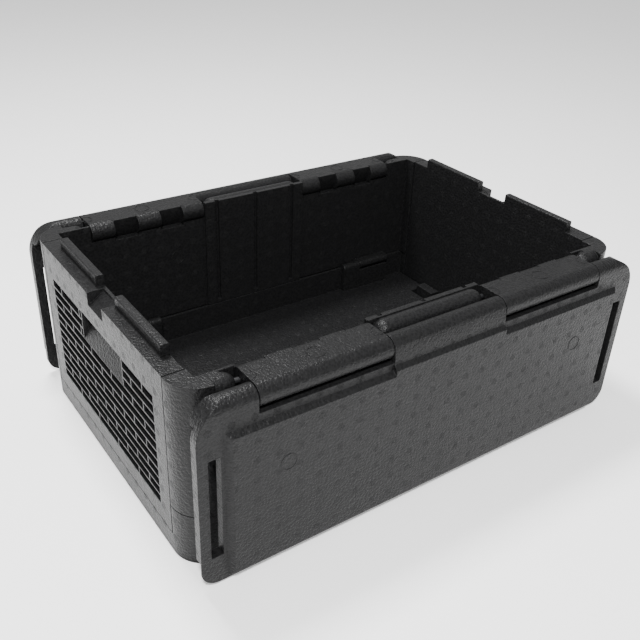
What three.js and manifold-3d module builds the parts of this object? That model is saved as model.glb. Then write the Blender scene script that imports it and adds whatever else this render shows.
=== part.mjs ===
// A collapsible foam tote with two attached lid halves, open, with its end walls standing and
// its lids hanging down outside the long walls. Millimetres, +Z up. The origin is on the ground
// in the middle of the footprint. X runs along the tote and Y across it.
//
// Pieces that come in pairs are modelled once, on the +Y or +X side. Their twins are the same
// solid turned half a turn about Z.

import * as THREE from 'three';
import { mergeVertices } from 'three/addons/utils/BufferGeometryUtils.js';
import Module from 'manifold-3d';

const wasm = await Module();
wasm.setup();

// ---------------------------------------------------------------- driving dimensions

const LENGTH = 600;
const WIDTH = 400;
const RIM_HEIGHT = 220;
const CORNER_RADIUS = 35;

const FLOOR_TOP = 26;
const SIDE_RIM_HEIGHT = 64;
const BASE_EDGE_CHAMFER = 1.5;

const LONG_WALL = 22;
const END_WALL = 23;
const CORNER_POST_DEPTH = 37;
const CORNER_POST_WIDTH = 25;
const RIM_LEDGE = 4;

const TOUCHING_GAP = 0.3;
const SEAM_GAP = 0.5;
const SIDE_CLEARANCE = 1;
const SWING_GAP = 2;
const CUT_OVERRUN = 1;

const ROLL_RADIUS = 12.5;
const ROLL_END_LAND = 4;
const ROLL_LEDGE_WIDTH = 6.5;

const LINK_ROOM_FROM = 78;
const LINK_ROOM_END_MARGIN = 65;
const LINK_SEGMENTS = 5;
const LINK_TAB_REACH = 6;
const LINK_TAB_HEIGHT = 11;

const PILASTER_PROUD = 3.5;
const GROOVE_WIDTH = 5.5;
const GROOVE_DEPTH = 4;
const GROOVE_SPACING = 60;
const GROOVE_FOOT = 6;
const CORNER_SCOOP_DEPTH = 4;
const CORNER_SCOOP_HEIGHT = 26;

const LID_PLATE = 11;
const LID_PANEL_PROUD = 5.5;
const LID_PANEL_FLANK = 5;
const LID_PANEL_MARGIN = 29;
const LID_PANEL_BELOW_AXIS = 22;
const LID_PANEL_ABOVE_EDGE = 3;
const LID_MIDDLE_BLEND = 1.2;
const LID_OVERLAP = 16;
const LID_FREE_CORNER = 20;
const LID_HINGE_CORNER = 40;

const RIB_HEIGHT = 13.5;
const RIB_TOP_WIDTH = 10;
const RIB_FOOT = 2.5;
const RIB_FROM_MIDDLE = 21;
const RIB_FROM_SEAM = 24;
const SLOT_CLEARANCE = 1.5;

const BRICK_SIDE_BORDER = 24;
const BRICK_BOTTOM_BORDER = 21;
const BRICK_TOP_BORDER = 36;
const BRICK_ROWS = 12;
const BRICK_LENGTH = 56;
const BRICK_WALL = 2.4;
const BRICK_DEPTH = 4;
const GRIP_LENGTH = 108;
const GRIP_OFF_CENTRE = 8;
const GRIP_ROWS = 3;
const GRIP_DEPTH = 13;
const GRIP_RADIUS = 8;

const NOTCH_HALF = 20;
const NOTCH_DEPTH = 15;
const NOTCH_RISER = 3;
const NOTCH_INNER_LIP = 4;

const PIN_RADIUS = 3;
const BORE_CLEARANCE = 0.3;
const PIN_SEAT = 12;

const KNUCKLE_RADIUS = 7;
const KNUCKLE_WIDTH = 34;
const KNUCKLE_FROM_SEAM = 68;
const KNUCKLE_RISE = 7;
const KNUCKLE_WEB_REACH = 5;
const END_AXIS_INBOARD = 8;
const END_AXIS_DROP = 7;

const FOLD_HINGE_PAST_LINK = 5;
const FOLD_BASE_KNUCKLE = 30;
const FOLD_WALL_KNUCKLE = 55;
const FOLD_KNUCKLE_RADIUS = 6.5;
const FOLD_PIN_COVER = 3;

// ---------------------------------------------------------------- derived places

const halfLength = LENGTH / 2;
const halfWidth = WIDTH / 2;
const cavityHalfLength = halfLength - END_WALL;
const cavityHalfWidth = halfWidth - LONG_WALL;
const rimLedgeY = cavityHalfWidth - RIM_LEDGE;
const seamY = halfWidth - CORNER_POST_DEPTH;
const endWallHalf = seamY - SIDE_CLEARANCE;
const hingePitch = 2 * ROLL_RADIUS + SWING_GAP;
const rollAxisZ = RIM_HEIGHT - ROLL_RADIUS;
const rollBottomZ = rollAxisZ - ROLL_RADIUS;
const rollLedgeY = cavityHalfWidth - PILASTER_PROUD + ROLL_LEDGE_WIDTH;
const linkSeatZ = rollBottomZ - SEAM_GAP;
const wallAxisY = halfWidth - ROLL_RADIUS;
const lidAxisY = wallAxisY + hingePitch;
const lidBorderY = lidAxisY + ROLL_RADIUS;
const lidBackY = lidBorderY - LID_PLATE;
const lidPanelY = lidBorderY + LID_PANEL_PROUD;
const lidReach = wallAxisY;
const lidLowZ = rollAxisZ - lidReach - LID_OVERLAP;
const panelFootX = halfLength - LID_PANEL_MARGIN;
const panelTopZ = rollAxisZ - LID_PANEL_BELOW_AXIS;
const endAxisX = cavityHalfLength - END_AXIS_INBOARD;
const endAxisZ = FLOOR_TOP - END_AXIS_DROP;
const endKnuckleY = seamY - KNUCKLE_FROM_SEAM;
const linkRoomTo = halfLength - LINK_ROOM_END_MARGIN;
const linkFrom = LINK_ROOM_FROM + SIDE_CLEARANCE;
const linkTo = linkRoomTo - SIDE_CLEARANCE;
const segmentLength = (linkRoomTo - LINK_ROOM_FROM) / LINK_SEGMENTS;
const foldHingeTo = linkRoomTo + FOLD_HINGE_PAST_LINK;
const foldHingeSplit = foldHingeTo - FOLD_WALL_KNUCKLE;
const foldHingeFrom = foldHingeSplit - FOLD_BASE_KNUCKLE;
const foldAxisY = cavityHalfWidth - FOLD_KNUCKLE_RADIUS - SEAM_GAP;
const foldAxisZ = SIDE_RIM_HEIGHT;
const ribTopZ = RIM_HEIGHT + RIB_HEIGHT;
const ribTo = seamY - RIB_FROM_SEAM;
const brickHalf = seamY - BRICK_SIDE_BORDER;
const brickBottom = FLOOR_TOP + BRICK_BOTTOM_BORDER;
const brickTop = RIM_HEIGHT - BRICK_TOP_BORDER;
const brickPitch = (brickTop - brickBottom) / BRICK_ROWS;
const gripFrom = GRIP_OFF_CENTRE - GRIP_LENGTH / 2;
const gripTo = GRIP_OFF_CENTRE + GRIP_LENGTH / 2;
const far = 2 * (LENGTH + WIDTH + RIM_HEIGHT);

// ---------------------------------------------------------------- materials

const FOAM_COLOUR = 0x1b1b1c;
const PIN_COLOUR = 0x2a2a2b;

function foamMaterial() {
  return new THREE.MeshStandardMaterial({ color: FOAM_COLOUR, roughness: 0.55, metalness: 0 });
}

function pinMaterial() {
  return new THREE.MeshStandardMaterial({ color: PIN_COLOUR, roughness: 0.4, metalness: 0 });
}

// ---------------------------------------------------------------- solids

const MERGE_DISTANCE = 1e-4;
const ROUND_STEPS = 32;
const CURVE_STEPS = 8;

// Column order of the world axes that a profile's own x, y and depth run along.
const ALONG_X = new THREE.Matrix4().set(0, 0, 1, 0, 1, 0, 0, 0, 0, 1, 0, 0, 0, 0, 0, 1);
const ALONG_Y = new THREE.Matrix4().set(1, 0, 0, 0, 0, 0, -1, 0, 0, 1, 0, 0, 0, 0, 0, 1);

function toSolid(geometry) {
  const bare = geometry.index ? geometry.toNonIndexed() : geometry.clone();
  bare.deleteAttribute('normal');
  bare.deleteAttribute('uv');
  const merged = mergeVertices(bare, MERGE_DISTANCE);
  const mesh = new wasm.Mesh({
    numProp: 3,
    vertProperties: new Float32Array(merged.attributes.position.array),
    triVerts: new Uint32Array(merged.index.array),
  });
  return new wasm.Manifold(mesh);
}

function toGeometry(solid) {
  const mesh = solid.getMesh();
  const geometry = new THREE.BufferGeometry();
  geometry.setAttribute('position', new THREE.BufferAttribute(mesh.vertProperties, mesh.numProp));
  geometry.setIndex(new THREE.BufferAttribute(mesh.triVerts, 1));
  geometry.computeVertexNormals();
  return geometry;
}

function block(x0, x1, y0, y1, z0, z1) {
  const geometry = new THREE.BoxGeometry(x1 - x0, y1 - y0, z1 - z0);
  geometry.translate((x0 + x1) / 2, (y0 + y1) / 2, (z0 + z1) / 2);
  return toSolid(geometry);
}

function extruded(shape, depth) {
  return new THREE.ExtrudeGeometry(shape, { depth, bevelEnabled: false, curveSegments: CURVE_STEPS });
}

// The profile is drawn in (y, z) and runs from x0 to x1.
function prismAlongX(shape, x0, x1) {
  const geometry = extruded(shape, x1 - x0);
  geometry.applyMatrix4(ALONG_X);
  geometry.translate(x0, 0, 0);
  return toSolid(geometry);
}

// The profile is drawn in (x, z) and runs from y0 to y1.
function prismAlongY(shape, y0, y1) {
  const geometry = extruded(shape, y1 - y0);
  geometry.applyMatrix4(ALONG_Y);
  geometry.translate(0, y1, 0);
  return toSolid(geometry);
}

// The outline is drawn in (x, y) and runs from z0 to z1.
function prismAlongZ(shape, z0, z1) {
  const geometry = extruded(shape, z1 - z0);
  geometry.translate(0, 0, z0);
  return toSolid(geometry);
}

function circle(a, b, radius) {
  const points = [];
  for (let step = 0; step < ROUND_STEPS; step += 1) {
    const angle = (step / ROUND_STEPS) * 2 * Math.PI;
    points.push(new THREE.Vector2(a + radius * Math.cos(angle), b + radius * Math.sin(angle)));
  }
  return new THREE.Shape(points);
}

function polygon(points) {
  return new THREE.Shape(points.map(([a, b]) => new THREE.Vector2(a, b)));
}

function rodAlongX(y, z, radius, x0, x1) {
  return prismAlongX(circle(y, z, radius), x0, x1);
}

function rodAlongY(x, z, radius, y0, y1) {
  return prismAlongY(circle(x, z, radius), y0, y1);
}

// Rectangle with its own radius at the two lower and the two upper corners.
function roundedRectangle(a0, a1, b0, b1, lowRadius, highRadius) {
  const shape = new THREE.Shape();
  shape.moveTo(a0 + lowRadius, b0);
  shape.lineTo(a1 - lowRadius, b0);
  shape.absarc(a1 - lowRadius, b0 + lowRadius, lowRadius, -Math.PI / 2, 0, false);
  shape.lineTo(a1, b1 - highRadius);
  shape.absarc(a1 - highRadius, b1 - highRadius, highRadius, 0, Math.PI / 2, false);
  shape.lineTo(a0 + highRadius, b1);
  shape.absarc(a0 + highRadius, b1 - highRadius, highRadius, Math.PI / 2, Math.PI, false);
  shape.lineTo(a0, b0 + lowRadius);
  shape.absarc(a0 + lowRadius, b0 + lowRadius, lowRadius, Math.PI, 1.5 * Math.PI, false);
  return shape;
}

// A ball whose ring of facets lines up with those of a rod along x.
function ball(x, y, z, radius) {
  const geometry = new THREE.SphereGeometry(radius, ROUND_STEPS, ROUND_STEPS / 2);
  geometry.rotateZ(Math.PI / 2);
  geometry.translate(x, y, z);
  return toSolid(geometry);
}

// Runs of the same piece or cut on both sides of the middle plane x = 0.
function bothEnds(make) {
  return make(1).add(make(-1));
}

// The stretch from one distance to another, on the chosen side of zero.
function span(side, from, to) {
  return side > 0 ? [from, to] : [-to, -from];
}

// ---------------------------------------------------------------- base

// The tray's outside: the footprint with round corners and a small chamfer around the underside.
function baseBlank() {
  const inset = BASE_EDGE_CHAMFER;
  const outline = roundedRectangle(
    -halfLength, halfLength, -halfWidth, halfWidth, CORNER_RADIUS, CORNER_RADIUS);
  const full = new THREE.ExtrudeGeometry(outline, {
    depth: SIDE_RIM_HEIGHT,
    bevelEnabled: true,
    bevelThickness: inset,
    bevelSize: inset,
    bevelOffset: -inset,
    bevelSegments: 1,
    curveSegments: CURVE_STEPS,
  });
  full.translate(0, 0, inset);
  return toSolid(full).intersect(block(-far, far, -far, far, 0, SIDE_RIM_HEIGHT));
}

function endKnucklePocket(side, y) {
  const inner = endAxisX - 2 * KNUCKLE_RADIUS - KNUCKLE_RISE / 2;
  const [x0, x1] = span(side, inner, cavityHalfLength + SIDE_CLEARANCE);
  const half = KNUCKLE_WIDTH / 2 + SIDE_CLEARANCE;
  const bottom = endAxisZ - KNUCKLE_RADIUS - SIDE_CLEARANCE;
  const reach = half + PIN_SEAT + SEAM_GAP;
  const pocket = block(x0, x1, y - half, y + half, bottom, far);
  const bore = rodAlongY(side * endAxisX, endAxisZ, PIN_RADIUS + BORE_CLEARANCE, y - reach, y + reach);
  return pocket.add(bore);
}

// The tray's half of a long wall's hinge: a block on the side rim that ends in a knuckle.
function foldHingeBlock(side, across) {
  const [x0, x1] = span(side, foldHingeFrom, foldHingeTo);
  const [k0, k1] = span(side, foldHingeFrom, foldHingeSplit);
  const [y0, y1] = span(across, foldAxisY - FOLD_KNUCKLE_RADIUS, cavityHalfWidth - SEAM_GAP);
  const body = block(x0, x1, y0, y1, FLOOR_TOP - RIM_LEDGE, foldAxisZ);
  return body.add(rodAlongX(across * foldAxisY, foldAxisZ, FOLD_KNUCKLE_RADIUS, k0, k1));
}

// Next to that knuckle, the room that the wall's own knuckle turns in.
function foldHingeRoom(side, across) {
  const [x0, x1] = span(side, foldHingeSplit, foldHingeTo + SIDE_CLEARANCE);
  const inner = foldAxisY - FOLD_KNUCKLE_RADIUS - SIDE_CLEARANCE;
  const [y0, y1] = span(across, inner, cavityHalfWidth + SEAM_GAP);
  const bottom = foldAxisZ - FOLD_KNUCKLE_RADIUS - SIDE_CLEARANCE;
  return block(x0, x1, y0, y1, bottom, far).add(foldPinBore(side, across * foldAxisY));
}

function foldPinBore(side, y) {
  const cover = FOLD_PIN_COVER - SEAM_GAP;
  const [x0, x1] = span(side, foldHingeFrom + cover, foldHingeTo - cover);
  return rodAlongX(y, foldAxisZ, PIN_RADIUS + BORE_CLEARANCE, x0, x1);
}

function baseTray() {
  let tray = baseBlank();
  tray = tray.subtract(block(
    -cavityHalfLength, cavityHalfLength, -rimLedgeY, rimLedgeY, FLOOR_TOP, far));
  tray = tray.subtract(block(-far, far, -seamY, seamY, FLOOR_TOP, far));
  for (const side of [1, -1]) {
    for (const across of [1, -1]) {
      tray = tray.add(foldHingeBlock(side, across));
      tray = tray.subtract(foldHingeRoom(side, across));
      tray = tray.subtract(endKnucklePocket(side, across * endKnuckleY));
    }
  }
  return tray;
}

// ---------------------------------------------------------------- long walls

// Seen from above: a straight wall that turns into a corner post at each end.
function longWallPlan() {
  const postX = halfLength - CORNER_POST_WIDTH;
  const round = CORNER_RADIUS;
  const plan = new THREE.Shape();
  plan.moveTo(-postX, seamY);
  plan.lineTo(-postX, cavityHalfWidth);
  plan.lineTo(postX, cavityHalfWidth);
  plan.lineTo(postX, seamY);
  plan.lineTo(halfLength, seamY);
  plan.lineTo(halfLength, halfWidth - round);
  plan.absarc(halfLength - round, halfWidth - round, round, 0, Math.PI / 2, false);
  plan.lineTo(round - halfLength, halfWidth);
  plan.absarc(round - halfLength, halfWidth - round, round, Math.PI / 2, Math.PI, false);
  plan.lineTo(-halfLength, seamY);
  return plan;
}

function wallRoll(x0, x1) {
  return rodAlongX(wallAxisY, rollAxisZ, ROLL_RADIUS, x0, x1);
}

// What the rolled top edge removes from a square-topped wall, along its outer edge.
function rollWaste() {
  const reach = halfLength - CORNER_RADIUS;
  const outer = halfWidth + CUT_OVERRUN;
  const top = RIM_HEIGHT + CUT_OVERRUN;
  const square = block(-reach, reach, wallAxisY, outer, rollAxisZ, top);
  return square.subtract(wallRoll(-reach - CUT_OVERRUN, reach + CUT_OVERRUN));
}

// Between the links the roll also falls away on the inside, to a crease along the flat ledge.
function ledgeCrease() {
  const square = block(
    -LINK_ROOM_FROM, LINK_ROOM_FROM, rollLedgeY, wallAxisY, rollAxisZ, RIM_HEIGHT + CUT_OVERRUN);
  return square.subtract(wallRoll(-LINK_ROOM_FROM - CUT_OVERRUN, LINK_ROOM_FROM + CUT_OVERRUN));
}

// Rounds off the end of a stretch of roll next to a link's room.
function rollEndWaste(side, roomEdge, away) {
  const tip = roomEdge + away * ROLL_END_LAND;
  const centre = tip + away * ROLL_RADIUS;
  const from = Math.min(roomEdge, centre);
  const to = Math.max(roomEdge, centre);
  const [x0, x1] = span(side, from, to);
  const outer = halfWidth + CUT_OVERRUN;
  const waste = block(x0, x1, rollLedgeY, outer, linkSeatZ, far);
  return waste.subtract(ball(side * centre, wallAxisY, rollAxisZ, ROLL_RADIUS));
}

// The hollow under the rolled edge next to each corner post.
function cornerScoop(side) {
  const [x0, x1] = span(side, linkRoomTo - SIDE_CLEARANCE, halfLength - CORNER_RADIUS);
  const top = rollAxisZ;
  const bottom = top - CORNER_SCOOP_HEIGHT;
  const depth = CORNER_SCOOP_DEPTH;
  const shape = new THREE.Shape();
  shape.moveTo(halfWidth + CUT_OVERRUN, top);
  shape.lineTo(halfWidth, top);
  shape.quadraticCurveTo(halfWidth - depth, top - depth, halfWidth - depth, top - 2 * depth);
  shape.quadraticCurveTo(halfWidth - depth, bottom + depth, halfWidth, bottom);
  shape.lineTo(halfWidth + CUT_OVERRUN, bottom);
  return prismAlongX(shape, x0, x1);
}

// The seat that a link needs in the wall's top: a trough under each rolled part of the link's
// inner edge, and a flat step under each squared tab.
function linkSeat(side) {
  const [x0, x1] = span(side, LINK_ROOM_FROM, linkRoomTo);
  const outer = halfWidth + CUT_OVERRUN;
  let seat = block(x0, x1, wallAxisY, outer, linkSeatZ, far);
  seat = seat.add(block(x0, x1, seamY, outer, rollAxisZ, far));
  seat = seat.add(rodAlongX(wallAxisY, rollAxisZ, ROLL_RADIUS + SEAM_GAP, x0, x1));
  for (let index = 1; index < LINK_SEGMENTS; index += 2) {
    const from = x0 + index * segmentLength;
    seat = seat.add(block(from, from + segmentLength, seamY, outer, linkSeatZ, far));
  }
  return seat;
}

// The thicker middle of the wall, with grooves that would hold a divider.
function pilaster() {
  const bottom = SIDE_RIM_HEIGHT + SEAM_GAP;
  const innerY = cavityHalfWidth - PILASTER_PROUD;
  return block(
    -LINK_ROOM_FROM, LINK_ROOM_FROM, innerY, cavityHalfWidth + RIM_LEDGE, bottom, RIM_HEIGHT);
}

function dividerGroove(x) {
  const half = GROOVE_WIDTH / 2;
  const innerY = cavityHalfWidth - PILASTER_PROUD;
  const bottom = SIDE_RIM_HEIGHT + GROOVE_FOOT;
  return block(x - half, x + half, innerY - CUT_OVERRUN, innerY + GROOVE_DEPTH, bottom, far);
}

// The wall's half of its hinge: a knuckle that stands inwards from the foot of the wall.
function foldKnuckle(side) {
  const [x0, x1] = span(side, foldHingeSplit + SIDE_CLEARANCE, foldHingeTo);
  const knuckle = rodAlongX(foldAxisY, foldAxisZ, FOLD_KNUCKLE_RADIUS, x0, x1);
  const top = foldAxisZ + FOLD_KNUCKLE_RADIUS;
  const deep = cavityHalfWidth + CUT_OVERRUN;
  const web = block(x0, x1, foldAxisY, deep, SIDE_RIM_HEIGHT + SEAM_GAP, top);
  return knuckle.add(web).subtract(foldPinBore(side, foldAxisY));
}

function linkPinBore(side, y) {
  const reach = PIN_SEAT + SEAM_GAP;
  const [x0, x1] = span(side, LINK_ROOM_FROM - reach, linkRoomTo + reach);
  return rodAlongX(y, rollAxisZ, PIN_RADIUS + BORE_CLEARANCE, x0, x1);
}

function longWall() {
  let wall = prismAlongZ(longWallPlan(), SIDE_RIM_HEIGHT + SEAM_GAP, RIM_HEIGHT);
  wall = wall.add(pilaster());
  wall = wall.subtract(rollWaste());
  wall = wall.subtract(ledgeCrease());
  wall = wall.subtract(bothEnds(cornerScoop));
  wall = wall.subtract(bothEnds(linkSeat));
  wall = wall.subtract(bothEnds((side) => rollEndWaste(side, LINK_ROOM_FROM, -1)));
  wall = wall.subtract(bothEnds((side) => rollEndWaste(side, linkRoomTo, 1)));
  wall = wall.subtract(bothEnds((side) => linkPinBore(side, wallAxisY)));
  for (const step of [-1, 0, 1]) wall = wall.subtract(dividerGroove(step * GROOVE_SPACING));
  return wall.add(bothEnds(foldKnuckle));
}

// ---------------------------------------------------------------- end walls

const ribHalf = RIB_TOP_WIDTH / 2;
const ribMiddleX = cavityHalfLength + ribHalf;

// Half of a rib's section, as distances from its middle plane and heights.
function ribHalfSection() {
  const soft = RIB_TOP_WIDTH / 4;
  const path = new THREE.Path();
  path.moveTo(0, RIM_HEIGHT - RIB_FOOT);
  path.lineTo(ribHalf + RIB_FOOT, RIM_HEIGHT - RIB_FOOT);
  path.lineTo(ribHalf + RIB_FOOT, RIM_HEIGHT);
  path.quadraticCurveTo(ribHalf, RIM_HEIGHT, ribHalf, RIM_HEIGHT + RIB_FOOT);
  path.lineTo(ribHalf, ribTopZ - soft);
  path.quadraticCurveTo(ribHalf, ribTopZ, ribHalf - soft, ribTopZ);
  path.lineTo(0, ribTopZ);
  return path.getPoints(CURVE_STEPS / 2);
}

// A low wall on the rim with round ends, flush with the end wall's inner face.
function rib(across) {
  const [y0, y1] = span(across, RIB_FROM_MIDDLE, ribTo);
  const half = ribHalfSection();
  const mirrored = half.map((point) => new THREE.Vector2(-point.x, point.y)).reverse();
  const section = [...half, ...mirrored.slice(1, -1)];
  const shape = new THREE.Shape(section.map((point) => new THREE.Vector2(ribMiddleX + point.x, point.y)));
  let body = prismAlongY(shape, y0 + ribHalf, y1 - ribHalf);
  for (const y of [y0 + ribHalf, y1 - ribHalf]) {
    const end = new THREE.LatheGeometry(half, ROUND_STEPS);
    end.rotateX(Math.PI / 2);
    end.scale(1, 1, -1);
    end.index.array.reverse();
    end.translate(ribMiddleX, y, 0);
    body = body.add(toSolid(end));
  }
  return body.intersect(block(cavityHalfLength, halfLength, y0, y1, 0, far));
}

// The pockets of one row, in a running bond, left out where the grip is.
function brickRow(row) {
  const z0 = brickBottom + row * brickPitch;
  const start = -brickHalf - (row % 2 === 1 ? BRICK_LENGTH / 2 : 0);
  const inGripRows = row >= BRICK_ROWS - GRIP_ROWS;
  let pockets = null;
  for (let from = start; from < brickHalf; from += BRICK_LENGTH) {
    let y0 = Math.max(from, -brickHalf) + BRICK_WALL / 2;
    let y1 = Math.min(from + BRICK_LENGTH, brickHalf) - BRICK_WALL / 2;
    if (inGripRows && y0 < gripFrom && y1 > gripFrom) y1 = gripFrom - BRICK_WALL;
    if (inGripRows && y0 < gripTo && y1 > gripTo) y0 = gripTo + BRICK_WALL;
    const insideGrip = inGripRows && y0 > gripFrom && y1 < gripTo;
    if (!insideGrip && y1 - y0 > BRICK_WALL) {
      const pocket = block(halfLength - BRICK_DEPTH, halfLength + CUT_OVERRUN, y0, y1,
        z0 + BRICK_WALL / 2, z0 + brickPitch - BRICK_WALL / 2);
      pockets = pockets ? pockets.add(pocket) : pocket;
    }
  }
  return pockets;
}

// A hand hold with a round back, in the upper rows of the brick field.
function grip() {
  const top = brickTop;
  const bottom = top - GRIP_ROWS * brickPitch;
  const deep = halfLength - GRIP_DEPTH;
  const shape = new THREE.Shape();
  shape.moveTo(halfLength + CUT_OVERRUN, bottom);
  shape.lineTo(halfLength + CUT_OVERRUN, top);
  shape.lineTo(deep + GRIP_RADIUS, top);
  shape.absarc(deep + GRIP_RADIUS, top - GRIP_RADIUS, GRIP_RADIUS, Math.PI / 2, Math.PI, false);
  shape.lineTo(halfLength, bottom);
  return prismAlongY(shape, gripFrom, gripTo);
}

// A ramp cut into the middle of the top edge, open to the outside.
function topNotch() {
  const back = cavityHalfLength + NOTCH_INNER_LIP;
  const outline = polygon([
    [back, RIM_HEIGHT - NOTCH_RISER],
    [halfLength, RIM_HEIGHT - NOTCH_DEPTH],
    [halfLength + CUT_OVERRUN, RIM_HEIGHT - NOTCH_DEPTH],
    [halfLength + CUT_OVERRUN, far],
    [back, far],
  ]);
  return prismAlongY(outline, -NOTCH_HALF, NOTCH_HALF);
}

// The knuckle reaches from the wall's inner foot down into its pocket in the tray's floor.
function endKnuckle(y) {
  const half = KNUCKLE_WIDTH / 2;
  const radius = KNUCKLE_RADIUS;
  const bottom = FLOOR_TOP + TOUCHING_GAP;
  const rise = endAxisZ + KNUCKLE_RISE + radius;
  const knuckle = rodAlongY(endAxisX, endAxisZ, radius, y - half, y + half);
  const cheek = block(endAxisX - radius, endAxisX + radius, y - half, y + half, endAxisZ, rise);
  const deep = cavityHalfLength + CUT_OVERRUN;
  const web = block(endAxisX, deep, y - half, y + half, bottom, rise);
  return knuckle.add(cheek).add(web);
}

function endWall() {
  let wall = block(
    cavityHalfLength, halfLength, -endWallHalf, endWallHalf, FLOOR_TOP + TOUCHING_GAP, RIM_HEIGHT);
  for (const across of [1, -1]) {
    wall = wall.add(rib(across));
    wall = wall.add(endKnuckle(across * endKnuckleY));
  }
  for (let row = 0; row < BRICK_ROWS; row += 1) wall = wall.subtract(brickRow(row));
  wall = wall.subtract(grip());
  wall = wall.subtract(topNotch());
  const bore = rodAlongY(endAxisX, endAxisZ, PIN_RADIUS + BORE_CLEARANCE, -halfWidth, halfWidth);
  return wall.subtract(bore);
}

// ---------------------------------------------------------------- lids

// Seen along the tote: a plate whose hinge edge is a full roll, standing out behind the plate.
function lidRollProfile() {
  const behind = lidBackY - lidAxisY;
  const meeting = 2 * Math.PI - Math.acos(behind / ROLL_RADIUS);
  const shape = new THREE.Shape();
  shape.moveTo(lidBackY, lidLowZ);
  shape.lineTo(lidBorderY, lidLowZ);
  shape.lineTo(lidBorderY, rollAxisZ);
  shape.absarc(lidAxisY, rollAxisZ, ROLL_RADIUS, 0, meeting, false);
  return shape;
}

// The raised field of the lid's inner face, with sloping sides, top and bottom.
function raisedPanel() {
  const root = lidBorderY - LID_PANEL_PROUD;
  const wide = panelFootX + LID_PANEL_FLANK;
  const low = lidLowZ + LID_PANEL_ABOVE_EDGE - LID_PANEL_FLANK;
  const high = panelTopZ + LID_PANEL_FLANK;
  const geometry = new THREE.BoxGeometry(2 * wide, lidPanelY - root, high - low);
  geometry.translate(0, (root + lidPanelY) / 2, (low + high) / 2);
  const position = geometry.attributes.position;
  for (let index = 0; index < position.count; index += 1) {
    if (position.getY(index) > lidBorderY) {
      const x = position.getX(index);
      const towardsTop = position.getZ(index) > panelTopZ ? 1 : -1;
      position.setX(index, x - 2 * LID_PANEL_FLANK * Math.sign(x));
      position.setZ(index, position.getZ(index) - 2 * LID_PANEL_FLANK * towardsTop);
    }
  }
  return toSolid(geometry).intersect(block(-far, far, 0, far, lidLowZ, far));
}

// Between the links the raised field runs on up, as near to the hinge roll as the wall allows.
function middlePanel() {
  const foot = rollAxisZ - (wallAxisY - rimLedgeY + SWING_GAP);
  const blend = lidBorderY + LID_MIDDLE_BLEND;
  const low = panelTopZ - 2 * LID_PANEL_FLANK;
  const shape = polygon([
    [lidAxisY, low],
    [lidPanelY, low],
    [lidPanelY, foot - LID_PANEL_FLANK],
    [blend, foot],
    [blend, (foot + rollAxisZ) / 2],
    [lidBorderY, rollAxisZ],
    [lidAxisY, rollAxisZ],
  ]);
  return prismAlongX(shape, -LINK_ROOM_FROM, LINK_ROOM_FROM);
}

function lidSlot(side) {
  const [x0, x1] = span(
    side, cavityHalfLength - SLOT_CLEARANCE, cavityHalfLength + RIB_TOP_WIDTH + SLOT_CLEARANCE);
  const nearAxis = lidReach - ribTo - SLOT_CLEARANCE;
  const farAxis = lidReach - RIB_FROM_MIDDLE + SLOT_CLEARANCE;
  return block(x0, x1, 0, far, rollAxisZ - farAxis, rollAxisZ - nearAxis);
}

// Room for a link, cut right through next to the hinge line.
function lidLinkOpening(side) {
  const [x0, x1] = span(side, LINK_ROOM_FROM, linkRoomTo);
  return block(x0, x1, 0, far, rollBottomZ - SIDE_CLEARANCE, far);
}

// Keeps the hidden face of the hinge edge out of the corner post's path.
function postRelief(side) {
  const [x0, x1] = span(side, halfLength - CORNER_RADIUS - SWING_GAP, far);
  const radius = Math.hypot(ROLL_RADIUS, ROLL_RADIUS) + SIDE_CLEARANCE;
  return rodAlongX(wallAxisY, rollAxisZ, radius, x0, x1);
}

// The free edges of the two lids overlap: each has half of its thickness cut back.
function overlapCut(cutInnerFace) {
  const middle = (lidBackY + lidPanelY) / 2;
  const edge = rollAxisZ - lidReach + LID_OVERLAP + SEAM_GAP;
  if (cutInnerFace) return block(-far, far, middle - SEAM_GAP / 2, far, -far, edge);
  return block(-far, far, 0, middle + SEAM_GAP / 2, -far, edge);
}

function lid(cutInnerFace) {
  const outline = roundedRectangle(
    -halfLength, halfLength, lidLowZ, RIM_HEIGHT, LID_FREE_CORNER, LID_HINGE_CORNER);
  let body = prismAlongX(lidRollProfile(), -halfLength, halfLength);
  body = body.intersect(prismAlongY(outline, 0, far));
  body = body.add(raisedPanel());
  body = body.add(middlePanel());
  body = body.subtract(bothEnds(lidSlot));
  body = body.subtract(bothEnds(lidLinkOpening));
  body = body.subtract(bothEnds(postRelief));
  body = body.subtract(bothEnds((side) => linkPinBore(side, lidAxisY)));
  return body.subtract(overlapCut(cutInnerFace));
}

// ---------------------------------------------------------------- links and pins

// From the wall's axis outwards: a flat plate that ends in a half roll.
function linkProfile() {
  const shape = new THREE.Shape();
  shape.moveTo(wallAxisY, rollBottomZ);
  shape.lineTo(lidAxisY, rollBottomZ);
  shape.absarc(lidAxisY, rollAxisZ, ROLL_RADIUS, -Math.PI / 2, Math.PI / 2, false);
  shape.lineTo(wallAxisY, RIM_HEIGHT);
  return shape;
}

// The squared part of the link's inner edge, undercut below its face.
function linkTabProfile() {
  const face = wallAxisY - LINK_TAB_REACH;
  return polygon([
    [lidAxisY, rollBottomZ],
    [lidAxisY, RIM_HEIGHT],
    [face, RIM_HEIGHT],
    [face, RIM_HEIGHT - LINK_TAB_HEIGHT],
    [wallAxisY, rollBottomZ],
  ]);
}

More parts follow.
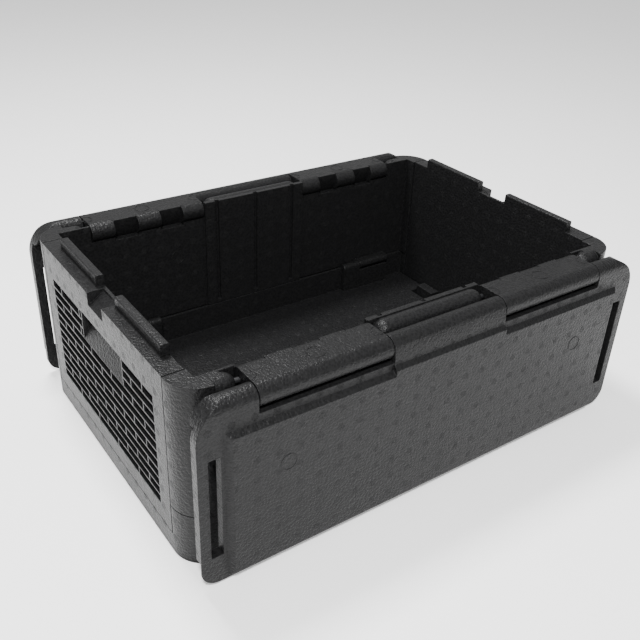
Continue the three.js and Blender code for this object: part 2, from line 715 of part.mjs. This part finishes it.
function link(side) {
  const [x0, x1] = span(side, linkFrom, linkTo);
  const start = side > 0 ? LINK_ROOM_FROM : -linkRoomTo;
  let body = prismAlongX(linkProfile(), x0, x1);
  for (let index = 0; index < LINK_SEGMENTS; index += 1) {
    const from = Math.max(x0, start + index * segmentLength);
    const to = Math.min(x1, start + (index + 1) * segmentLength);
    const rolled = index % 2 === 0;
    const inner = rolled ? wallRoll(from, to) : prismAlongX(linkTabProfile(), from, to);
    body = body.add(inner);
  }
  for (const y of [wallAxisY, lidAxisY]) {
    body = body.subtract(rodAlongX(y, rollAxisZ, PIN_RADIUS + BORE_CLEARANCE, -far, far));
  }
  return body;
}

function linkPin(side, y) {
  const [x0, x1] = span(side, LINK_ROOM_FROM - PIN_SEAT, linkRoomTo + PIN_SEAT);
  return rodAlongX(y, rollAxisZ, PIN_RADIUS, x0, x1);
}

function endHingePin(y) {
  const reach = KNUCKLE_WIDTH / 2 + SIDE_CLEARANCE + PIN_SEAT;
  return rodAlongY(endAxisX, endAxisZ, PIN_RADIUS, y - reach, y + reach);
}

function foldPin(side) {
  const [x0, x1] = span(side, foldHingeFrom + FOLD_PIN_COVER, foldHingeTo - FOLD_PIN_COVER);
  return rodAlongX(foldAxisY, foldAxisZ, PIN_RADIUS, x0, x1);
}

// ---------------------------------------------------------------- assembly

const tote = new THREE.Group();
const nearSide = new THREE.Group();
const farSide = new THREE.Group();
nearSide.rotation.z = Math.PI;
tote.add(nearSide, farSide);

function place(group, name, solid, material) {
  const mesh = new THREE.Mesh(toGeometry(solid), material);
  mesh.name = name;
  group.add(mesh);
}

// farSide holds the pieces as modelled, on +Y and +X, and nearSide their turned twins.
const sides = [
  { group: farSide, along: 'back', across: 'right', turn: 1, cutInnerFace: true },
  { group: nearSide, along: 'front', across: 'left', turn: -1, cutInnerFace: false },
];

place(farSide, 'base_tray', baseTray(), foamMaterial());
for (const { group, along, across, turn, cutInnerFace } of sides) {
  place(group, `${along}_wall`, longWall(), foamMaterial());
  place(group, `${across}_end_wall`, endWall(), foamMaterial());
  place(group, `${along}_lid`, lid(cutInnerFace), foamMaterial());
  for (const half of [1, -1]) {
    const hand = half * turn > 0 ? 'right' : 'left';
    const depth = half * turn > 0 ? 'back' : 'front';
    place(group, `${along}_${hand}_link`, link(half), foamMaterial());
    place(group, `${along}_${hand}_wall_pin`, linkPin(half, wallAxisY), pinMaterial());
    place(group, `${along}_${hand}_lid_pin`, linkPin(half, lidAxisY), pinMaterial());
    place(group, `${along}_${hand}_fold_pin`, foldPin(half), pinMaterial());
    place(group, `${across}_end_${depth}_pin`, endHingePin(half * endKnuckleY), pinMaterial());
  }
}

export default tote;
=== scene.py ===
"""Looks of the collapsible foam tote with two attached lid halves, built around its CAD frame.

Everything is in metres, in the frame of the CAD model: +X along the tote, +Y to the back, +Z up.
"""
import math

import bpy
from mathutils import Matrix, Vector


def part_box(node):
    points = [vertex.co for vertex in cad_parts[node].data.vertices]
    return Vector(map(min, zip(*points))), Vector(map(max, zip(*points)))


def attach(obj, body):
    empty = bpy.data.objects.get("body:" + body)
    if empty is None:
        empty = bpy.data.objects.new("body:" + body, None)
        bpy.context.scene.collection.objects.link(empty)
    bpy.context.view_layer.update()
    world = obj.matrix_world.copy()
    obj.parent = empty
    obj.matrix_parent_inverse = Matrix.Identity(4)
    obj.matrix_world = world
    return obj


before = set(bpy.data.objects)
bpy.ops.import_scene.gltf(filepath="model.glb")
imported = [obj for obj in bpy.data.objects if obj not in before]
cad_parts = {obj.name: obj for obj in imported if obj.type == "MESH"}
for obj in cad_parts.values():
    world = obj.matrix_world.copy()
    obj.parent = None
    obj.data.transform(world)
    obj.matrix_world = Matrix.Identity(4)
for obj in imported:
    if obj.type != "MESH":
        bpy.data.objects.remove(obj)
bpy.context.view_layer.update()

MM = 0.001


# ---------------------------------------------------------------- camera, light and floor

CAMERA_PLACE = (-0.54025, -0.73454, 0.64409)
CAMERA_AZIMUTH = -35.94
CAMERA_ELEVATION = 30.61
CAMERA_ROLL = 2.54
CAMERA_LENS = 45.85
SENSOR = 36.0
LIGHT_TARGET = (0, 0, 0.1)
WORLD_STRENGTH = 0.62
FLOOR_REACH = 6.0
FLOOR_GLOW = 0.32


def camera_axes():
    """Right, up and back of the camera, from its azimuth, elevation and roll."""
    azimuth, elevation, roll = (
        math.radians(a) for a in (CAMERA_AZIMUTH, CAMERA_ELEVATION, CAMERA_ROLL))
    flat = math.cos(elevation)
    back = Vector((math.sin(azimuth) * flat, -math.cos(azimuth) * flat, math.sin(elevation)))
    right = Vector((0, 0, 1)).cross(back).normalized()
    up = back.cross(right)
    rolled_right = math.cos(roll) * right + math.sin(roll) * up
    rolled_up = math.cos(roll) * up - math.sin(roll) * right
    return rolled_right, rolled_up, back


def add_camera():
    right, up, back = camera_axes()
    data = bpy.data.cameras.new("camera")
    data.lens = CAMERA_LENS
    data.sensor_width = SENSOR
    data.clip_start = 0.01
    camera = bpy.data.objects.new("camera", data)
    turn = Matrix((right, up, back)).transposed()
    camera.matrix_world = Matrix.Translation(CAMERA_PLACE) @ turn.to_4x4()
    bpy.context.scene.collection.objects.link(camera)
    bpy.context.scene.camera = camera


def add_area_light(name, place, size, power):
    """A square softbox that points at the middle of the tote."""
    data = bpy.data.lights.new(name, "AREA")
    data.shape = "RECTANGLE"
    data.size = size
    data.size_y = size
    data.energy = power
    light = bpy.data.objects.new(name, data)
    light.location = place
    aim = Vector(LIGHT_TARGET) - Vector(place)
    light.rotation_euler = aim.to_track_quat("-Z", "Y").to_euler()
    bpy.context.scene.collection.objects.link(light)


def add_world():
    world = bpy.data.worlds.new("studio")
    world.use_nodes = True
    background = world.node_tree.nodes["Background"]
    background.inputs["Color"].default_value = (1.0, 1.0, 1.0, 1.0)
    background.inputs["Strength"].default_value = WORLD_STRENGTH
    bpy.context.scene.world = world


def add_floor():
    mesh = bpy.data.meshes.new("floor")
    reach = FLOOR_REACH
    corners = [(-reach, -reach, 0), (reach, -reach, 0), (reach, reach, 0), (-reach, reach, 0)]
    mesh.from_pydata(corners, [], [(0, 1, 2, 3)])
    floor = bpy.data.objects.new("floor", mesh)
    bpy.context.scene.collection.objects.link(floor)
    material = bpy.data.materials.new("floor")
    material.use_nodes = True
    shader = material.node_tree.nodes["Principled BSDF"]
    shader.inputs["Base Color"].default_value = (0.95, 0.95, 0.95, 1.0)
    shader.inputs["Roughness"].default_value = 0.9
    shader.inputs["Emission Color"].default_value = (1.0, 1.0, 1.0, 1.0)
    shader.inputs["Emission Strength"].default_value = FLOOR_GLOW
    mesh.materials.append(material)


# ---------------------------------------------------------------- materials

class Tree:
    """Short hand for a material's nodes: each call makes one node and wires it up."""

    def __init__(self, material):
        material.use_nodes = True
        self.nodes = material.node_tree.nodes
        self.links = material.node_tree.links

    def feed(self, socket, value):
        if isinstance(value, bpy.types.NodeSocket):
            self.links.new(value, socket)
        else:
            socket.default_value = value

    def math(self, operation, first, second=0.0):
        node = self.nodes.new("ShaderNodeMath")
        node.operation = operation
        for socket, value in zip(node.inputs, (first, second)):
            self.feed(socket, value)
        return node.outputs[0]

    def split(self, vector):
        node = self.nodes.new("ShaderNodeSeparateXYZ")
        self.feed(node.inputs[0], vector)
        return node.outputs

    def step(self, value, low, high):
        """0 below low, 1 above high, with a smooth rise between them."""
        node = self.nodes.new("ShaderNodeMapRange")
        node.interpolation_type = "SMOOTHSTEP"
        self.feed(node.inputs["Value"], value)
        node.inputs["From Min"].default_value = low
        node.inputs["From Max"].default_value = high
        return node.outputs["Result"]

    def bump(self, height, distance, strength, normal=None):
        node = self.nodes.new("ShaderNodeBump")
        node.inputs["Distance"].default_value = distance
        node.inputs["Strength"].default_value = strength
        self.feed(node.inputs["Height"], height)
        if normal is not None:
            self.feed(node.inputs["Normal"], normal)
        return node.outputs["Normal"]

    def noise(self, vector, scale, detail=2.0):
        node = self.nodes.new("ShaderNodeTexNoise")
        self.feed(node.inputs["Vector"], vector)
        node.inputs["Scale"].default_value = scale
        node.inputs["Detail"].default_value = detail
        return node.outputs["Fac"]

    def cells(self, vector, scale):
        node = self.nodes.new("ShaderNodeTexVoronoi")
        self.feed(node.inputs["Vector"], vector)
        node.inputs["Scale"].default_value = scale
        return node.outputs["Distance"]


VENT_PITCH = 24 * MM
VENT_RADIUS = 4.2 * MM
VENT_SLIT_PITCH = 0.8 * MM
VENT_DEPTH = 0.6 * MM

FOAM_DARK = (0.0055, 0.0055, 0.0057, 1.0)
FOAM_LIGHT = (0.010, 0.010, 0.0103, 1.0)
FOAM_ROUGHNESS = 0.25
FOAM_SHEEN = 0.14
BEAD_CELLS_PER_METRE = 330
LEATHER_CELLS_PER_METRE = 800
WAVE_DEPTH = 0.8 * MM
BEAD_DEPTH = 0.572 * MM
LEATHER_DEPTH = 0.264 * MM
# How far the ambient occlusion looks for the painted crease shade.
PAINTED_SHADE_REACH = 9 * MM


def vent_dots(tree, place):
    """1 on the round marks that the mould's vents leave, on a square grid over each flat face."""
    geometry = tree.nodes.new("ShaderNodeNewGeometry")
    facing = tree.split(geometry.outputs["True Normal"])
    at = tree.split(place)
    offsets = []
    for axis in range(3):
        wrapped = tree.math("PINGPONG", at[axis], VENT_PITCH / 2)
        side_on = tree.math("LESS_THAN", tree.math("ABSOLUTE", facing[axis]), 0.8)
        offsets.append(tree.math("MULTIPLY", tree.math("POWER", wrapped, 2.0), side_on))
    total = tree.math("ADD", tree.math("ADD", offsets[0], offsets[1]), offsets[2])
    distance = tree.math("SQRT", total)
    flat = tree.math("MAXIMUM", tree.math("MAXIMUM",
        tree.math("ABSOLUTE", facing[0]), tree.math("ABSOLUTE", facing[1])),
        tree.math("ABSOLUTE", facing[2]))
    on_flat = tree.math("GREATER_THAN", flat, 0.985)
    ring = tree.step(distance, VENT_RADIUS - 0.5 * MM, VENT_RADIUS + 0.3 * MM)
    return tree.math("MULTIPLY", tree.math("SUBTRACT", 1.0, ring), on_flat)


def foam_material(name, vents):
    """Black moulded bead foam: bead cells under a fine leather grain, with painted shade in its
    creases, where ambient occlusion lowers its specular level.
    """
    material = bpy.data.materials.new(name)
    tree = Tree(material)
    shader = tree.nodes["Principled BSDF"]
    place = tree.nodes.new("ShaderNodeTexCoord").outputs["Object"]
    beads = tree.cells(place, BEAD_CELLS_PER_METRE)
    leather = tree.cells(place, LEATHER_CELLS_PER_METRE)
    patches = tree.noise(place, 28)
    fine = tree.noise(place, 1500, 1.0)
    rough = tree.math("ADD", FOAM_ROUGHNESS, tree.math("MULTIPLY", patches, 0.12))
    rough = tree.math("ADD", rough, tree.math("MULTIPLY", fine, 0.06))
    normal = tree.bump(tree.noise(place, 60), WAVE_DEPTH, 0.45)
    normal = tree.bump(beads, BEAD_DEPTH, 0.7, normal)
    normal = tree.bump(leather, LEATHER_DEPTH, 0.9, normal)
    # Painted shade: ambient occlusion cuts the specular level in creases and hollows, standing in
    # for the shade that falls there.
    painted_crease_shade = tree.nodes.new("ShaderNodeAmbientOcclusion")
    painted_crease_shade.samples = 6
    painted_crease_shade.inputs["Distance"].default_value = PAINTED_SHADE_REACH
    reach = tree.math("POWER", painted_crease_shade.outputs["AO"], 1.6)
    tree.feed(shader.inputs["Specular IOR Level"], tree.math("MULTIPLY", reach, FOAM_SHEEN))
    colour = tree.nodes.new("ShaderNodeMix")
    colour.data_type = "RGBA"
    colour.inputs["A"].default_value = FOAM_DARK
    colour.inputs["B"].default_value = FOAM_LIGHT
    tree.feed(colour.inputs["Factor"], tree.step(beads, 0.1, 0.75))
    if vents:
        dots = vent_dots(tree, place)
        slits = tree.math("PINGPONG", tree.split(place)[2], VENT_SLIT_PITCH)
        relief = tree.math("MULTIPLY", dots, tree.step(slits, 0.2 * MM, 0.5 * MM))
        normal = tree.bump(relief, VENT_DEPTH, 0.45, normal)
        rough = tree.math("ADD", rough, tree.math("MULTIPLY", dots, 0.10))
    tree.feed(shader.inputs["Base Color"], colour.outputs["Result"])
    tree.feed(shader.inputs["Roughness"], rough)
    tree.feed(shader.inputs["Normal"], normal)
    return material


def rod_material():
    material = bpy.data.materials.new("hinge_pin")
    tree = Tree(material)
    shader = tree.nodes["Principled BSDF"]
    shader.inputs["Base Color"].default_value = (0.012, 0.012, 0.013, 1.0)
    shader.inputs["Roughness"].default_value = 0.35
    return material


# ---------------------------------------------------------------- CAD solids

def soften(node, width, merge_flats):
    """Rounds the edges of a CAD solid with modifiers, and leaves its mesh as it is.

    The end walls' flats stay unmerged: around the brick field a merged face shades badly.
    """
    weld = node.modifiers.new("weld", "WELD")
    weld.merge_threshold = WELD_DISTANCE
    if merge_flats:
        flat = node.modifiers.new("flat", "DECIMATE")
        flat.decimate_type = "DISSOLVE"
        flat.angle_limit = math.radians(0.5)
    bevel = node.modifiers.new("bevel", "BEVEL")
    bevel.width = width
    bevel.segments = 3
    bevel.limit_method = "ANGLE"
    bevel.angle_limit = math.radians(35)
    bevel.use_clamp_overlap = False
    bevel.miter_outer = "MITER_PATCH"
    normals = node.modifiers.new("normals", "WEIGHTED_NORMAL")
    normals.keep_sharp = False
    for polygon in node.data.polygons:
        polygon.use_smooth = True


EDGE_RADIUS = {
    "left_end_wall": 0.45 * MM,
    "right_end_wall": 0.45 * MM,
    "base_tray": 0.7 * MM,
}
DEFAULT_EDGE = 0.6 * MM
PIN_EDGE = 0.4 * MM
WELD_DISTANCE = 0.02 * MM


def dress_frame(foam, rods):
    for name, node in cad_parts.items():
        is_pin = name.endswith("_pin")
        node.data.materials.clear()
        node.data.materials.append(rods if is_pin else foam)
        width = PIN_EDGE if is_pin else EDGE_RADIUS.get(name, DEFAULT_EDGE)
        soften(node, width, merge_flats=not name.endswith("_end_wall"))


# ---------------------------------------------------------------- moulded marks

def low_ring(name, radius, thick, proud, arc=(0.0, 360.0), steps=48):
    """A flat moulded ring or arc in the x, y plane, with rounded shoulders, standing on z = 0."""
    start, end = (math.radians(a) for a in arc)
    closed = abs(end - start - 2 * math.pi) < 1e-6
    count = steps if closed else steps + 1
    section = [(-0.5, -0.6), (-0.5, 0.35), (-0.25, 1.0), (0.25, 1.0), (0.5, 0.35), (0.5, -0.6)]
    points = []
    for index in range(count):
        angle = start + (end - start) * index / steps
        for across, height in section:
            reach = radius + across * thick
            points.append((reach * math.cos(angle), reach * math.sin(angle), height * proud))
    size = len(section)
    faces = []
    for index in range(steps):
        here, there = index * size, ((index + 1) % count) * size
        for corner in range(size):
            nxt = (corner + 1) % size
            faces.append((here + corner, here + nxt, there + nxt, there + corner))
    if not closed:
        faces.append(tuple(range(size - 1, -1, -1)))
        faces.append(tuple((count - 1) * size + corner for corner in range(size)))
    mesh = bpy.data.meshes.new(name)
    mesh.from_pydata(points, [], faces)
    for polygon in mesh.polygons:
        polygon.use_smooth = True
    return mesh


def put_mark(name, mesh, place, facing, body, material):
    """Stands a mark on a surface: its own z turns towards facing."""
    turn = Vector(facing).to_track_quat("Z", "Y").to_matrix().to_4x4()
    mesh.transform(Matrix.Translation(place) @ turn)
    mesh.update()
    mark = bpy.data.objects.new(name, mesh)
    mark.data.materials.append(material)
    bpy.context.scene.collection.objects.link(mark)
    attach(mark, body)
    return mark


RING = {"radius": 9.2 * MM, "thick": 1.0 * MM, "proud": 0.35 * MM}
ARC = {"radius": 7.5 * MM, "thick": 1.0 * MM, "proud": 0.4 * MM}
LONG_WALL_INNER = 178 * MM
LID_RING_PLACE = (205 * MM, 128 * MM)
WALL_RING_PLACE = (120 * MM, 150 * MM)
ARC_FROM_LINK_END = 2 * MM


def add_link_marks(foam):
    """A ring in the middle of each link's top, and an arc that opens to each of its ends."""
    for along in ("front", "back"):
        for hand in ("left", "right"):
            name = f"{along}_{hand}_link"
            low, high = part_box(name)
            middle = (low + high) / 2
            half = (high.x - low.x) / 2 - ARC_FROM_LINK_END
            ring = low_ring(name + "_ring", **RING)
            put_mark(name + "_ring", ring, (middle.x, middle.y, high.z),
                     (0, 0, 1), f"{along}_links", foam)
            for end in (-1, 1):
                stretch = (-90, 90) if end > 0 else (90, 270)
                arc = low_ring(name + "_arc", **ARC, arc=stretch, steps=24)
                put_mark(f"{name}_arc_{end}", arc, (middle.x + end * half, middle.y, high.z),
                         (0, 0, 1), f"{along}_links", foam)


def add_side_marks(kind, body, plane, facing, along, foam, spot):
    """A ring at each end of one long side, on the upright plane at the given y."""
    x, z = spot
    for index, side in enumerate((-1, 1)):
        ring = low_ring(f"{along}_{kind}_ring", **RING)
        put_mark(f"{along}_{kind}_ring_{index}", ring, (side * x, plane, z),
                 (0, facing, 0), body, foam)


def add_lid_marks(foam):
    panel_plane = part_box("back_lid")[1].y
    for along, turn in (("front", -1), ("back", 1)):
        add_side_marks("lid", f"{along}_lid", turn * panel_plane, turn, along, foam, LID_RING_PLACE)


def add_wall_marks(foam):
    for along, turn in (("front", -1), ("back", 1)):
        plane = turn * LONG_WALL_INNER
        add_side_marks("wall", "base", plane, -turn, along, foam, WALL_RING_PLACE)


foam = foam_material("bead_foam", vents=True)
plain_foam = foam_material("bead_foam_marks", vents=False)
rods = rod_material()
dress_frame(foam, rods)
add_link_marks(plain_foam)
add_lid_marks(plain_foam)
add_wall_marks(plain_foam)

add_camera()
add_world()
add_floor()
add_area_light("top", place=(-0.2, 0.62, 1.9), size=0.4, power=60)
add_area_light("front", place=(-0.9, -1.25, 2.0), size=0.3, power=95)
